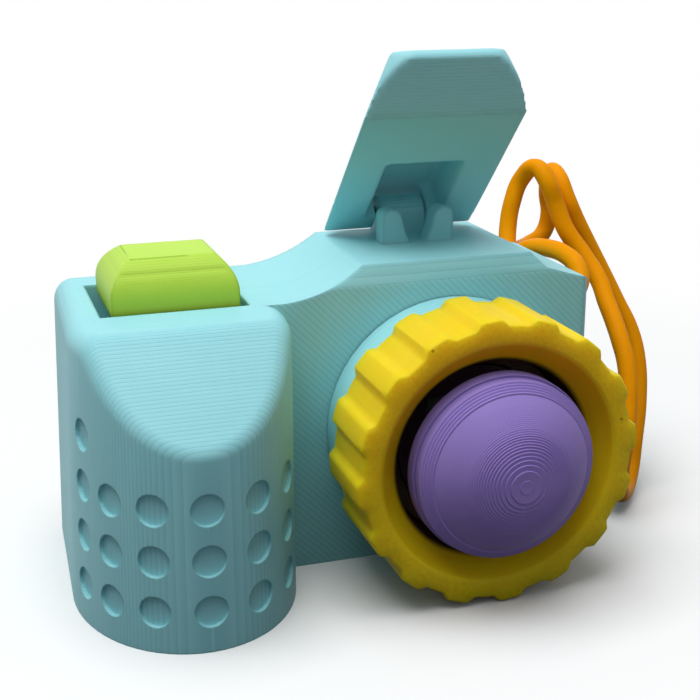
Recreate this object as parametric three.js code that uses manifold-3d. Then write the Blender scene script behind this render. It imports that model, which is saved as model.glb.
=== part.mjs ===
// Camera-shaped fidget toy, printed in coloured plastic.
// Millimetres, +Z up, the lens faces -Y. Origin under the middle of the object.
import * as THREE from "three";
import { ConvexGeometry } from "three/addons/geometries/ConvexGeometry.js";
import { mergeVertices } from "three/addons/utils/BufferGeometryUtils.js";
import Module from "manifold-3d";

const wasm = await Module();
wasm.setup();

// Clearances
const fitGap = 0.3;
const slideGap = 0.35;

// Body block behind the lens
const bodyLeft = -45;
const bodyRight = 35.2;
const bodyDepth = 25.2;
const bodyTop = 41;
const bodyCorner = 1.7;
const shoulderRise = 0.4;
const platformRise = 4.5;
const platformLeft = -1;
const platformRight = 25.4;
const humpHeight = 3.1;
const humpSetback = 1.1;
const humpRun = 2.5;
const humpRise = 0.7;
const shoulderRound = 2.2;
const saddleRun = 12;
const saddleEase = 5.6;
const saddleSag = 0.5;
const shoulderTop = bodyTop + shoulderRise;
const platformTop = bodyTop + platformRise;
const humpCrease = platformTop - humpHeight;

// Hand grip, half of an ellipse in plan with a slanted top
const gripWidth = 32;
const gripReach = 20.5;
const gripSlope = 48.5;
const gripRound = 3;
const gripLean = 1.6;
const gripTaper = 1;
const gripMiddle = bodyLeft + gripWidth / 2;

// Finger dimples on the grip
const dimpleWidth = 4.5;
const dimpleDepth = 0.6;
const dimplePitch = 7.2;
const dimpleFirstRow = 5.9;
const dimpleColumns = [160, 140, 117, 90, 63, 38];

// Lens, all turned about one axis along Y
const lensX = 12.1;
const lensZ = 21;
const flangeRadius = 19.1;
const flangeLength = 6.3;
const spindleRadius = 11.6;
const spindleBore = 10.3;
const spigotLength = 6;
const plateThick = 1.5;
const plateReach = 10.5;
const ringCrest = 20.9;
const ringFlute = 1;
const ringLobes = 16;
const ringPhase = 17;
const ringMouth = 16.9;
const ringThroat = 14.2;
const ringFunnel = 3.5;
const ringLength = 13.4;
const ringWeb = 1.6;
const collarLength = 2;
const buttonRadius = 13.1;
const buttonWall = 1.6;
const buttonSide = 1.4;
const rimLedge = 0.5;
const rimLength = 2;
const bevelInset = 1.7;
const bevelHeight = 1.5;
const bevelSteps = 5;
const domeRise = 4.84;

// Keyboard-style click switch under each button
const switchCut = 14.4;
const switchFlange = 15.6;
const switchDrop = 5;
const switchTop = 6.6;
const switchTravel = 4;
const coverFoot = 13;
const coverHead = 10.6;
const sliderWidth = 8;
const sliderDepth = 7;
const sliderFoot = 0.6;
const neckRadius = 2.7;
const stemTop = 10.2;
const crossLength = 4;
const crossThick = 1.2;
const bossRadius = 2.9;
const bossFoot = 7;
const socketRoof = 0.7;
const springRadius = 1.75;
const springWire = 0.4;
const springTurns = 5;
const pinReach = 8.3;
const pinWidth = 1;
const pinThick = 0.4;
const pinHead = 0.6;
const pinPlaces = [[-5.6, 1.4], [5.6, -1.4]];
const pegRadius = 2;
const flangeThick = 0.9;
const coverRoof = 1.2;
const springSeat = 4.3;
const springFloor = 0.4;
const postTop = -1.8;
const flangeTop = fitGap + flangeThick;
const cavityFloor = sliderFoot - switchTravel - springFloor;

// Where the pieces of the lens lie along its axis, and the height of a button's ceiling
const flangeFront = -flangeLength;
const ringRear = flangeFront - fitGap;
const ringFront = ringRear - ringLength;
const webFront = ringRear - ringWeb;
const lensPlate = -plateReach;
const capCeiling = stemTop + fitGap + socketRoof;
const domeFoot = capCeiling + bevelHeight;
const domeApex = domeFoot + domeRise;

// Shutter button and its pocket in the grip
const capX = -27.9;
const pocketX = capX - 0.3;
const pocketY = 10.4;
const pocketWidth = 20.9;
const pocketLength = 18.8;
const pocketDepth = 6.2;
const pocketFloor = bodyTop - pocketDepth;
const chamberWidth = 16.4;
const chamberDepth = 9;
const capWidth = 18.1;
const capLength = 16.6;
const capStand = 6.9;
const capTop = bodyTop + capStand;
const capHeight = 7.5;
const capTopWidth = 11.8;
const capTopShift = 0.4;
const capTopLength = 9.5;
const capNoseRound = 3.4;
const capLean = 0.6;
const capCrown = 0.15;
const capShoulder = 5.2;
const capWall = 1.4;
const capSideWall = 1.7;

// Flash lid, drawn closed about its hinge axis
const lidX = 11.9;
const hingeY = 23.3;
const hingeLift = 2.95;
const hingeZ = platformTop + hingeLift;
const lidOpen = 44.4;
const lidUnder = -2.6;
const lidRear = 0.8;
const lidFlat = 28.7;
const lidNoseReach = 7.65;
const lidNoseRise = 4.4;
const lidTip = 1.3;
const lidRoof = 5.8;
const lidRearDrop = 2;
const lidRearRun = 3.8;
const lidBrowRun = 4;
const lidHalfWidth = 12.65;
const lidNoseHalf = 7.3;
const lidNoseBow = 11.4;
const lidNoseRound = 1.4;
const lidEdgeRound = 2.4;
const lidSideSlope = 0.61;
const notchHalf = 6.15;
const notchReach = 17.3;
const notchDepth = 5.9;
const lugFront = -2.6;
const knuckleWidth = 7.2;
const knuckleRadius = 2.8;
const knuckleSet = 0.9;
const hingePinRadius = 0.9;
const hingePinHalf = 9;
const hornFront = 12.8;
const hornThick = 3.4;
const hornHeight = 5.3;
const hornTop = platformTop + hornHeight;
const hornOuter = 5.75;
const hornRound = 1.5;
const hornTipWidth = 3;
const hornWaistWidth = 3.3;
const hornWaistDrop = 2.4;
const hornFootWidth = 4.6;
const hornFootRise = 0.6;

// Strap
const strapDiameter = 3;
const anchorRadius = 2;
const anchorDepth = 5;
const strapSink = 3.6;

const round = 48;
const up = new THREE.Vector3(0, 0, 1);

// A closed three.js geometry as a solid for cutting and joining
function solid(geometry, matrix) {
  const plain = geometry.clone();
  plain.deleteAttribute("normal");
  plain.deleteAttribute("uv");
  if (matrix) plain.applyMatrix4(matrix);
  const merged = mergeVertices(plain, 1e-4);
  const position = merged.attributes.position;
  const triangles = [];
  let volume = 0;
  const [a, b, c] = [new THREE.Vector3(), new THREE.Vector3(), new THREE.Vector3()];
  for (let i = 0; i < merged.index.count; i += 3) {
    const corner = [0, 1, 2].map((k) => merged.index.getX(i + k));
    if (new Set(corner).size < 3) continue;
    triangles.push(corner);
    a.fromBufferAttribute(position, corner[0]);
    b.fromBufferAttribute(position, corner[1]);
    c.fromBufferAttribute(position, corner[2]);
    volume += a.dot(b.cross(c));
  }
  if (volume < 0) triangles.forEach((corner) => corner.reverse());
  const vertProperties = new Float32Array(position.array);
  const triVerts = new Uint32Array(triangles.flat());
  return new wasm.Manifold(new wasm.Mesh({ numProp: 3, vertProperties, triVerts }));
}

function moved(x, y, z) {
  return new THREE.Matrix4().makeTranslation(x, y, z);
}

function box(x0, x1, y0, y1, z0, z1) {
  const geometry = new THREE.BoxGeometry(x1 - x0, y1 - y0, z1 - z0);
  return solid(geometry, moved((x0 + x1) / 2, (y0 + y1) / 2, (z0 + z1) / 2));
}

function centredBox(width, length, z0, z1, x = 0, y = 0) {
  return box(x - width / 2, x + width / 2, y - length / 2, y + length / 2, z0, z1);
}

// Round bar from one point to another
function bar(radius, from, to, sides = round) {
  const [p, q] = [new THREE.Vector3(...from), new THREE.Vector3(...to)];
  const along = q.clone().sub(p);
  const geometry = new THREE.CylinderGeometry(radius, radius, along.length(), sides);
  const turn = new THREE.Quaternion().setFromUnitVectors(
    new THREE.Vector3(0, 1, 0),
    along.clone().normalize(),
  );
  const middle = p.add(q).multiplyScalar(0.5);
  return solid(geometry, new THREE.Matrix4().compose(middle, turn, new THREE.Vector3(1, 1, 1)));
}

function shapeOf(points) {
  return new THREE.Shape(points.map(([u, v]) => new THREE.Vector2(u, v)));
}

function extruded(shape, depth, matrix, curveSegments = 12) {
  const geometry = new THREE.ExtrudeGeometry(shape, { depth, bevelEnabled: false, curveSegments });
  return solid(geometry, matrix);
}

// Outline drawn in X and Z, carried along Y
function alongY(shape, y0, y1) {
  const turn = new THREE.Matrix4().makeRotationX(Math.PI / 2);
  return extruded(shape, y1 - y0, moved(0, y1, 0).multiply(turn));
}

// Outline drawn in Y and Z, carried along X
function alongX(shape, x0, x1) {
  const turn = new THREE.Matrix4().makeBasis(
    new THREE.Vector3(0, 1, 0),
    new THREE.Vector3(0, 0, 1),
    new THREE.Vector3(1, 0, 0),
  );
  return extruded(shape, x1 - x0, moved(x0, 0, 0).multiply(turn));
}

// Outline drawn in X and Y, carried along Z
function alongZ(shape, z0, z1) {
  return extruded(shape, z1 - z0, moved(0, 0, z0));
}

// Profile of radius and Y turned about the Y axis
function turned(points, sides = round) {
  const profile = points.map(([r, y]) => new THREE.Vector2(r, y));
  return solid(new THREE.LatheGeometry(profile, sides));
}

function piece(name, body, color, roughness, metalness = 0) {
  const mesh = body.getMesh();
  const geometry = new THREE.BufferGeometry();
  geometry.setAttribute("position", new THREE.BufferAttribute(mesh.vertProperties, 3));
  geometry.setIndex(new THREE.BufferAttribute(mesh.triVerts, 1));
  geometry.computeVertexNormals();
  const material = new THREE.MeshStandardMaterial({ color, roughness, metalness });
  const result = new THREE.Mesh(geometry, material);
  result.name = name;
  return result;
}

const skyBlue = 0x93d3da;
const lime = 0xa9d63c;
const yellow = 0xe3c22c;
const violet = 0x8a72bd;
const orange = 0xeb9a08;
const switchBlack = 0x2b2c2e;
const switchClear = 0xd9d6cc;
const stemBlue = 0x3f7fd0;
const brass = 0xc9a356;
const steel = 0xc4c7ca;

// The outer side of the grip leans in as it rises
function leaned(x, z) {
  if (x > gripMiddle) return x;
  const share = (gripLean / (gripWidth / 2)) * (z / bodyTop);
  return gripMiddle + (x - gripMiddle) * (1 - share);
}

// Grip with rounded edges: a hull of points set out along the normals of its edges
function gripSolid() {
  const slant = new THREE.Vector3(0, -1, 1).normalize();
  const halfWidth = gripWidth / 2 - gripRound;
  const reach = gripReach - gripRound;
  const slopeLimit = gripSlope - gripRound * Math.SQRT2;
  const topLimit = bodyTop - gripRound;
  const creaseY = topLimit - slopeLimit;
  const stations = [];
  for (let i = 0; i <= 36; i += 1) stations.push((i / 36) * Math.PI);
  const creaseAngle = Math.asin(-creaseY / reach);
  stations.push(creaseAngle, Math.PI - creaseAngle);
  const points = [];
  const addEdge = (x, y, z, from, to) => {
    for (let k = 0; k <= 5; k += 1) {
      const way = from.clone().lerp(to, k / 5).normalize().multiplyScalar(gripRound);
      points.push(new THREE.Vector3(x, y, z).add(way));
    }
  };
  for (const angle of stations) {
    const x = gripMiddle + halfWidth * Math.cos(angle);
    const y = -reach * Math.sin(angle);
    const side = new THREE.Vector3(Math.cos(angle) / halfWidth, -Math.sin(angle) / reach, 0);
    side.normalize();
    const z = Math.min(topLimit, slopeLimit + y);
    if (y <= creaseY + 1e-6) addEdge(x, y, z, side, slant);
    if (y >= creaseY - 1e-6) addEdge(x, y, z, side, up);
    if (Math.abs(y - creaseY) < 1e-6) addEdge(x, y, z, slant, up);
    points.push(new THREE.Vector3(x, y, -gripRound).addScaledVector(side, gripRound));
  }
  for (const sign of [-1, 1]) {
    const x = gripMiddle + sign * (halfWidth - gripTaper);
    const side = new THREE.Vector3(sign, 0, 0);
    addEdge(x, bodyDepth + 2, topLimit, side, up);
    points.push(new THREE.Vector3(x + sign * gripRound, bodyDepth + 2, -gripRound));
  }
  for (const point of points) point.x = leaned(point.x, point.z);
  const room = box(bodyLeft - 1, bodyRight, -gripReach - 1, bodyDepth, 0, platformTop);
  return solid(new ConvexGeometry(points)).intersect(room);
}

// Body block seen from the front: shoulder, hump and sloping right side
function blockSolid() {
  const front = new THREE.Shape();
  front.moveTo(gripMiddle, 0);
  front.lineTo(bodyRight, 0);
  front.lineTo(bodyRight, shoulderTop - shoulderRound);
  front.quadraticCurveTo(bodyRight, shoulderTop, bodyRight - bodyCorner, shoulderTop);
  front.lineTo(platformRight + humpRun, humpCrease + humpRise);
  front.lineTo(platformRight, platformTop);
  front.lineTo(platformLeft, platformTop);
  front.quadraticCurveTo(platformLeft - saddleEase, bodyTop + saddleSag, platformLeft - saddleRun, bodyTop);
  front.lineTo(gripMiddle, bodyTop);
  const plan = new THREE.Shape();
  plan.moveTo(gripMiddle, 0);
  plan.lineTo(bodyRight - bodyCorner, 0);
  plan.absarc(bodyRight - bodyCorner, bodyCorner, bodyCorner, -Math.PI / 2, 0);
  plan.lineTo(bodyRight, bodyDepth);
  plan.lineTo(gripMiddle, bodyDepth);
  const steep = (platformTop - humpCrease) / humpSetback;
  const over = 2;
  const wedge = shapeOf([
    [-1, humpCrease],
    [0, humpCrease],
    [(platformTop + over - humpCrease) / steep, platformTop + over],
    [-1, platformTop + over],
  ]);
  return alongY(front, 0, bodyDepth)
    .intersect(alongZ(plan, -1, platformTop + 1))
    .subtract(alongX(wedge, gripMiddle, bodyRight + 1));
}

// Shallow flat-bottomed dimples around the grip, square to its surface
function dimpleTools() {
  const tools = [];
  dimpleColumns.forEach((degrees, index) => {
    const rows = index === 0 ? 4 : 3;
    const angle = THREE.MathUtils.degToRad(degrees);
    const x = gripMiddle + (gripWidth / 2) * Math.cos(angle);
    const y = -gripReach * Math.sin(angle);
    const normal = new THREE.Vector3(Math.cos(angle) * gripReach, -Math.sin(angle) * (gripWidth / 2), 0);
    normal.normalize();
    for (let row = 0; row < rows; row += 1) {
      const z = dimpleFirstRow + row * dimplePitch;
      const surface = new THREE.Vector3(leaned(x, z), y, z);
      const inner = surface.clone().addScaledVector(normal, -dimpleDepth);
      const outer = surface.clone().addScaledVector(normal, 1);
      tools.push(bar(dimpleWidth / 2, inner.toArray(), outer.toArray(), 20));
    }
  });
  return tools;
}

// Knuckle of the flash hinge and the two horns in front of it
function hingeFixtures() {
  const knuckle = new THREE.Shape();
  const middle = hingeY - knuckleSet;
  knuckle.moveTo(middle - knuckleRadius, platformTop - 1);
  knuckle.lineTo(middle + knuckleRadius, platformTop - 1);
  knuckle.lineTo(middle + knuckleRadius, hingeZ);
  knuckle.absarc(middle, hingeZ, knuckleRadius, 0, Math.PI);
  let fixtures = alongX(knuckle, lidX - knuckleWidth / 2, lidX + knuckleWidth / 2);
  const bore = hingePinRadius + fitGap;
  const reach = knuckleWidth;
  fixtures = fixtures.subtract(
    bar(bore, [lidX - reach, hingeY, hingeZ], [lidX + reach, hingeY, hingeZ], 24),
  );
  for (const side of [-1, 1]) {
    const across = (inset) => lidX + side * (hornOuter - inset);
    const horn = new THREE.Shape();
    horn.moveTo(across(0), platformTop - 1);
    horn.lineTo(across(0), hornTop - hornRound);
    horn.quadraticCurveTo(across(0), hornTop, across(hornRound), hornTop);
    horn.quadraticCurveTo(across(hornTipWidth), hornTop, across(hornWaistWidth), hornTop - hornWaistDrop);
    const creep = (hornWaistWidth + hornFootWidth) / 2;
    horn.quadraticCurveTo(across(creep), platformTop + hornFootRise, across(hornFootWidth), platformTop);
    horn.lineTo(across(hornFootWidth), platformTop - 1);
    fixtures = fixtures.add(alongY(horn, hornFront, hornFront + hornThick));
  }
  return fixtures;
}

// Where each strap end goes into the body: the mouth and the way in
const anchors = {
  back: { mouth: [32.8, bodyDepth, 36.4], inward: [-0.36, -0.62, -0.7] },
  side: { mouth: [bodyRight, 5.6, 36.8], inward: [-0.81, -0.39, -0.44] },
};

function anchorPoint({ mouth, inward }, depth) {
  return new THREE.Vector3(...mouth).addScaledVector(new THREE.Vector3(...inward), depth);
}

function bodyShell() {
  let body = gripSolid().add(blockSolid()).add(hingeFixtures());
  for (const tool of dimpleTools()) body = body.subtract(tool);
  body = body.subtract(
    centredBox(pocketWidth, pocketLength, pocketFloor, bodyTop + 3, pocketX, pocketY),
  );
  body = body.subtract(
    centredBox(switchCut, switchCut, pocketFloor - plateThick - 1, bodyTop, capX, pocketY),
  );
  const chamberTop = pocketFloor - plateThick;
  body = body.subtract(
    centredBox(chamberWidth, chamberWidth, pocketFloor - chamberDepth, chamberTop, capX, pocketY),
  );
  const well = spindleRadius + fitGap;
  body = body.subtract(bar(well, [lensX, -1, lensZ], [lensX, spigotLength + 1, lensZ]));
  for (const anchor of Object.values(anchors)) {
    const inner = anchorPoint(anchor, anchorDepth);
    const outer = anchorPoint(anchor, -4);
    body = body.subtract(bar(anchorRadius, inner.toArray(), outer.toArray(), 16));
  }
  return body;
}

function lensBarrel() {
  const barrel = turned([
    [0, lensPlate],
    [spindleRadius, lensPlate],
    [spindleRadius, flangeFront],
    [flangeRadius, flangeFront],
    [flangeRadius, -fitGap],
    [spindleRadius, -fitGap],
    [spindleRadius, spigotLength],
    [spindleBore, spigotLength],
    [spindleBore, lensPlate + plateThick],
    [0, lensPlate + plateThick],
  ]);
  const half = switchCut / 2;
  return barrel.subtract(box(-half, half, lensPlate - 1, lensPlate + 3, -half, half));
}

// Grip ring with rounded lobes outside and a funnel mouth inside
function lensRing() {
  const outline = [];
  const stepsRound = ringLobes * 8;
  for (let k = 0; k < stepsRound; k += 1) {
    const angle = (k / stepsRound) * 2 * Math.PI;
    const wave = Math.cos(ringLobes * (angle - THREE.MathUtils.degToRad(ringPhase)));
    const radius = ringCrest - (ringFlute * (1 - wave)) / 2;
    outline.push([radius * Math.sin(angle), radius * Math.cos(angle)]);
  }
  const webBore = spindleRadius + fitGap;
  const hollow = turned([
    [0, ringFront - 1],
    [ringMouth, ringFront - 1],
    [ringMouth, ringFront],
    [ringThroat, ringFront + ringFunnel],
    [ringThroat, webFront],
    [webBore, webFront],
    [webBore, ringRear + 1],
    [0, ringRear + 1],
  ], 64);
  return alongY(shapeOf(outline), ringFront, ringRear).subtract(hollow);
}

function ringCollar() {
  const inner = spindleRadius + fitGap;
  const outer = ringThroat - fitGap;
  const rear = webFront - fitGap;
  return turned([
    [inner, rear],
    [inner, rear - collarLength],
    [outer, rear - collarLength],
    [outer, rear],
    [inner, rear],
  ]);
}

// Socket boss under a button, drawn upright above the switch plate
function socketBoss(ceiling) {
  const boss = bar(bossRadius, [0, 0, bossFoot], [0, 0, ceiling + 0.5], 24);
  return boss.subtract(crossPost(fitGap, bossFoot - 1, stemTop + fitGap));
}

function crossPost(grow, z0, z1) {
  const long = crossLength + 2 * grow;
  const thin = crossThick + 2 * grow;
  return centredBox(long, thin, z0, z1).add(centredBox(thin, long, z0, z1));
}

// Domed lens button, drawn upright above the switch plate: rim, stepped bevel, shallow dome
function lensButton() {
  const domeEdge = buttonRadius - bevelInset;
  const domeRadius = (domeEdge ** 2 + domeRise ** 2) / (2 * domeRise);
  const centre = domeApex - domeRadius;
  const profile = [];
  for (let i = 0; i <= 12; i += 1) {
    const angle = (i / 12) * Math.asin(domeEdge / domeRadius);
    profile.push([domeRadius * Math.sin(angle), centre + domeRadius * Math.cos(angle)]);
  }
  for (let step = 1; step <= bevelSteps; step += 1) {
    const radius = domeEdge + (bevelInset * step) / bevelSteps;
    profile.push([radius, domeFoot - (bevelHeight * (step - 1)) / bevelSteps]);
    profile.push([radius, domeFoot - (bevelHeight * step) / bevelSteps]);
  }
  const ledge = domeFoot - bevelHeight - buttonSide;
  const foot = ledge - rimLength;
  const rim = buttonRadius + rimLedge;
  const inner = buttonRadius - buttonWall;
  profile.push([buttonRadius, ledge], [rim, ledge], [rim, foot], [inner, foot]);
  profile.push([inner, capCeiling], [0, capCeiling]);
  const upright = new THREE.Matrix4().makeRotationX(Math.PI / 2);
  const points = profile.map(([r, y]) => new THREE.Vector2(r, y));
  return solid(new THREE.LatheGeometry(points, round), upright).add(socketBoss(capCeiling));
}

// Outline with upright sides rounded over to a flat top
function roundedTop(left, flatLeft, flatRight, right, foot, height) {
  const shoulder = height - capShoulder;
  const haunch = height - capShoulder / 2;
  const brow = height - capShoulder * capCrown;
  const outline = new THREE.Shape();
  outline.moveTo(left, foot);
  outline.lineTo(right, foot);
  outline.lineTo(right, shoulder);
  outline.bezierCurveTo(right, haunch, right + (flatRight - right) * capLean, brow, flatRight, height);
  outline.lineTo(flatLeft, height);
  outline.bezierCurveTo(left + (flatLeft - left) * capLean, brow, left, haunch, left, shoulder);
  return outline;
}

// Shutter button: flat top, all four sides rounded up to it, hollow underneath
function shutterButton() {
  const height = capTop - pocketFloor;
  const foot = height - capHeight;
  const half = capWidth / 2;
  const nose = -capLength / 2;
  const tail = capLength / 2;
  const flatLeft = capTopShift - capTopWidth / 2;
  const flatFront = nose + capNoseRound;
  const front = roundedTop(-half, flatLeft, flatLeft + capTopWidth, half, foot, height);
  const side = roundedTop(nose, flatFront, flatFront + capTopLength, tail, foot, height);
  const shell = alongY(front, nose - 1, tail + 1).intersect(alongX(side, -half - 1, half + 1));
  const hollow = centredBox(capWidth - 2 * capSideWall, capLength - 2 * capWall, foot - 1, capCeiling);
  return shell.subtract(hollow).add(socketBoss(capCeiling));
}

// Lower half of a switch, with the spring post and two contact slots
function switchBase() {
  const bodyWidth = switchCut - 2 * fitGap;
  let base = centredBox(switchFlange, switchFlange, fitGap, flangeTop);
  base = base.add(centredBox(bodyWidth, bodyWidth, -switchDrop, fitGap + 0.1));
  base = base.add(bar(pegRadius, [0, 0, -pinReach], [0, 0, 1 - switchDrop], 20));
  base = base.subtract(
    centredBox(sliderWidth + 2 * slideGap, sliderDepth + 2 * slideGap, cavityFloor, flangeTop + 1),
  );
  const postRadius = springRadius - springWire - slideGap;
  base = base.add(bar(postRadius, [0, 0, cavityFloor - 0.1], [0, 0, postTop], 16));
  for (const [x, y] of pinPlaces) {
    const slot = centredBox(pinThick + 2 * fitGap, pinWidth + 2 * fitGap, -pinReach, flangeTop + 1, x, y);
    base = base.subtract(slot);
  }
  return base;
}

function switchContact([x, y]) {
  return centredBox(pinThick, pinWidth, -pinReach, fitGap + pinHead, x, y);
}

// Upper half of a switch, narrower at the top, with a round mouth for the stem
function switchCover() {
  const foot = flangeTop + fitGap;
  const corner = Math.SQRT1_2;
  const tower = new THREE.CylinderGeometry(coverHead * corner, coverFoot * corner, switchTop - foot, 4);
  const turn = new THREE.Matrix4().makeRotationX(Math.PI / 2);
  turn.multiply(new THREE.Matrix4().makeRotationY(Math.PI / 4));
  const shell = solid(tower, moved(0, 0, (foot + switchTop) / 2).multiply(turn));
  const room = centredBox(
    sliderWidth + 2 * slideGap, sliderDepth + 2 * slideGap, foot - 1, switchTop - coverRoof,
  );
  const mouth = bossRadius + slideGap;
  return shell.subtract(room).subtract(bar(mouth, [0, 0, foot], [0, 0, switchTop + 1], 24));
}

function switchStem() {
  const sliderTop = switchTop - coverRoof - fitGap;
  let stem = centredBox(sliderWidth, sliderDepth, sliderFoot, sliderTop);
  stem = stem.add(bar(neckRadius, [0, 0, sliderTop - 0.5], [0, 0, switchTop], 24));
  stem = stem.add(crossPost(0, switchTop - 0.5, stemTop));
  const well = springRadius + springWire / 2 + slideGap;
  return stem.subtract(bar(well, [0, 0, sliderFoot - 1], [0, 0, springSeat], 20));
}

class Coil extends THREE.Curve {
  getPoint(t, target = new THREE.Vector3()) {
    const angle = t * springTurns * 2 * Math.PI;
    const foot = cavityFloor + fitGap + springWire / 2;
    const head = springSeat - fitGap - springWire / 2;
    const z = foot + (head - foot) * t;
    return target.set(springRadius * Math.cos(angle), springRadius * Math.sin(angle), z);
  }
}

// Round section carried along a curve, with flat closed ends
function rod(curve, diameter, sides, steps) {
  const section = [];
  for (let i = 0; i < sides; i += 1) {
    const angle = (i / sides) * 2 * Math.PI;
    section.push([(diameter / 2) * Math.cos(angle), (diameter / 2) * Math.sin(angle)]);
  }
  const settings = { steps, extrudePath: curve, bevelEnabled: false };
  return solid(new THREE.ExtrudeGeometry(shapeOf(section), settings));
}

// Flash lid, closed: hipped sides, tapered nose, notch and hinge lugs
function flashLid() {
  const flatFront = lidRear - lidFlat;
  const tipY = flatFront - lidNoseReach;
  const tipZ = lidUnder + lidNoseRise;
  const profile = shapeOf([
    [lidRear, lidUnder],
    [lidRear, lidRoof - lidRearDrop],
    [lidRear - lidRearRun, lidRoof],
    [tipY + lidBrowRun, lidRoof],
    [tipY, tipZ + lidTip],
    [tipY, tipZ],
    [flatFront, lidUnder],
  ]);
  const roofHalf = lidHalfWidth - lidSideSlope * (lidRoof - lidUnder);
  const sideHalf = roofHalf + lidSideSlope * lidEdgeRound;
  const section = new THREE.Shape();
  section.moveTo(-lidHalfWidth, lidUnder);
  section.lineTo(lidHalfWidth, lidUnder);
  section.lineTo(sideHalf, lidRoof - lidEdgeRound);
  section.quadraticCurveTo(roofHalf, lidRoof, roofHalf - lidEdgeRound, lidRoof);
  section.lineTo(lidEdgeRound - roofHalf, lidRoof);
  section.quadraticCurveTo(-roofHalf, lidRoof, -sideHalf, lidRoof - lidEdgeRound);
  const waist = (flatFront + tipY) / 2;
  const plan = new THREE.Shape();
  plan.moveTo(lidHalfWidth, lidRear);
  plan.lineTo(-lidHalfWidth, lidRear);
  plan.lineTo(-lidHalfWidth, flatFront);
  plan.quadraticCurveTo(-lidNoseBow, waist, -lidNoseHalf - lidNoseRound, tipY + lidNoseRound);
  plan.quadraticCurveTo(-lidNoseHalf, tipY, lidNoseRound - lidNoseHalf, tipY);
  plan.lineTo(lidNoseHalf - lidNoseRound, tipY);
  plan.quadraticCurveTo(lidNoseHalf, tipY, lidNoseHalf + lidNoseRound, tipY + lidNoseRound);
  plan.quadraticCurveTo(lidNoseBow, waist, lidHalfWidth, flatFront);
  let lid = alongX(profile, -lidHalfWidth, lidHalfWidth)
    .intersect(alongY(section, tipY - 1, lidRear + 1))
    .intersect(alongZ(plan, lidUnder - 1, lidRoof + 1));
  const notchTop = lidUnder + notchDepth;
  const notchFront = lidRear - notchReach;
  lid = lid.subtract(box(-notchHalf, notchHalf, notchFront, lugFront, lidUnder - 1, notchTop));
  const slotHalf = knuckleWidth / 2 + 2 * fitGap;
  lid = lid.subtract(box(-slotHalf, slotHalf, lugFront - 1, lidRear + 1, lidUnder - 1, notchTop));
  const bore = hingePinRadius + fitGap;
  return lid.subtract(bar(bore, [-hingePinHalf - fitGap, 0, 0], [lidHalfWidth, 0, 0], 24));
}

// Strap route from the back anchor over the top, down the right side, round and back up
const strapRoute = [
  anchorPoint(anchors.back, strapSink),
  anchorPoint(anchors.back, 0),
  [33.9, 27.6, 39.6],
  [34.8, 29.6, 42.8],
  [35.9, 30.6, 47],
  [37.9, 30, 51.4],
  [39, 27.6, 53.2],
  [39.3, 25.8, 51.2],
  [40.3, 24.6, 47.6],
  [41.6, 22.9, 43.4],
  [43.8, 20.4, 39.4],
  [45.4, 17, 35.8],
  [45.9, 14, 32.8],
  [45.9, 11.2, 30.2],
  [45.8, 8.6, 27.6],
  [45.7, 6.2, 24.6],
  [44.7, 3, 19.3],
  [43.2, 0.6, 13.8],
  [42.4, 0.2, 8.4],
  [43.6, 2, 4],
  [46.6, 5.6, 2.3],
  [49.8, 9.6, 4],
  [51.6, 12, 8.2],
  [54, 15.5, 14.1],
  [55.1, 18.5, 20.4],
  [54.7, 20.8, 25.2],
  [53.5, 22.8, 30],
  [51.7, 24.4, 34.8],
  [49.5, 25.6, 39.4],
  [47.2, 26.4, 44],
  [45.6, 27.2, 47.8],
  [44.8, 30, 51.3],
  [44.6, 34, 51.3],
  [45.4, 36.4, 47.2],
  [46, 36.6, 43.2],
  [44.8, 36.4, 39.8],
  [41.6, 35.2, 38.4],
  [38.6, 32.4, 38.4],
  [37, 28.4, 39],
  [36.8, 23.6, 40.6],
  [37, 18, 41.6],
  [37.4, 13, 41.6],
  [37.7, 9.8, 40.6],
  [37.3, 7.4, 38.7],
  anchorPoint(anchors.side, 0),
  anchorPoint(anchors.side, strapSink),
].map((point) => (point.isVector3 ? point : new THREE.Vector3(...point)));

function strap() {
  const curve = new THREE.CatmullRomCurve3(strapRoute, false, "centripetal");
  return rod(curve, strapDiameter, 8, 78);
}

// A switch with its button above it; the button and the stem travel together
function clickSwitch(name, button) {
  const group = new THREE.Group();
  group.add(button);
  group.add(piece(`${name}_switch_base`, switchBase(), switchBlack, 0.5));
  group.add(piece(`${name}_switch_cover`, switchCover(), switchClear, 0.35));
  group.add(piece(`${name}_switch_stem`, switchStem(), stemBlue, 0.4));
  const coil = rod(new Coil(), springWire, 6, springTurns * 10);
  group.add(piece(`${name}_switch_spring`, coil, steel, 0.3, 1));
  pinPlaces.forEach((place, index) => {
    const contact = `${name}_switch_contact_${index + 1}`;
    group.add(piece(contact, switchContact(place), brass, 0.3, 1));
  });
  return group;
}

const camera = new THREE.Group();
camera.add(piece("body_shell", bodyShell(), skyBlue, 0.5));

const lens = new THREE.Group();
lens.position.set(lensX, 0, lensZ);
lens.add(piece("lens_barrel", lensBarrel(), skyBlue, 0.5));
lens.add(piece("lens_ring", lensRing(), yellow, 0.55));
lens.add(piece("ring_collar", ringCollar(), yellow, 0.55));
const lensClick = clickSwitch("lens", piece("lens_button", lensButton(), violet, 0.5));
lensClick.position.set(0, lensPlate, 0);
lensClick.rotation.x = Math.PI / 2;
lens.add(lensClick);
camera.add(lens);

const shutterClick = clickSwitch("shutter", piece("shutter_button", shutterButton(), lime, 0.45));
shutterClick.position.set(capX, pocketY, pocketFloor);
camera.add(shutterClick);

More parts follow.
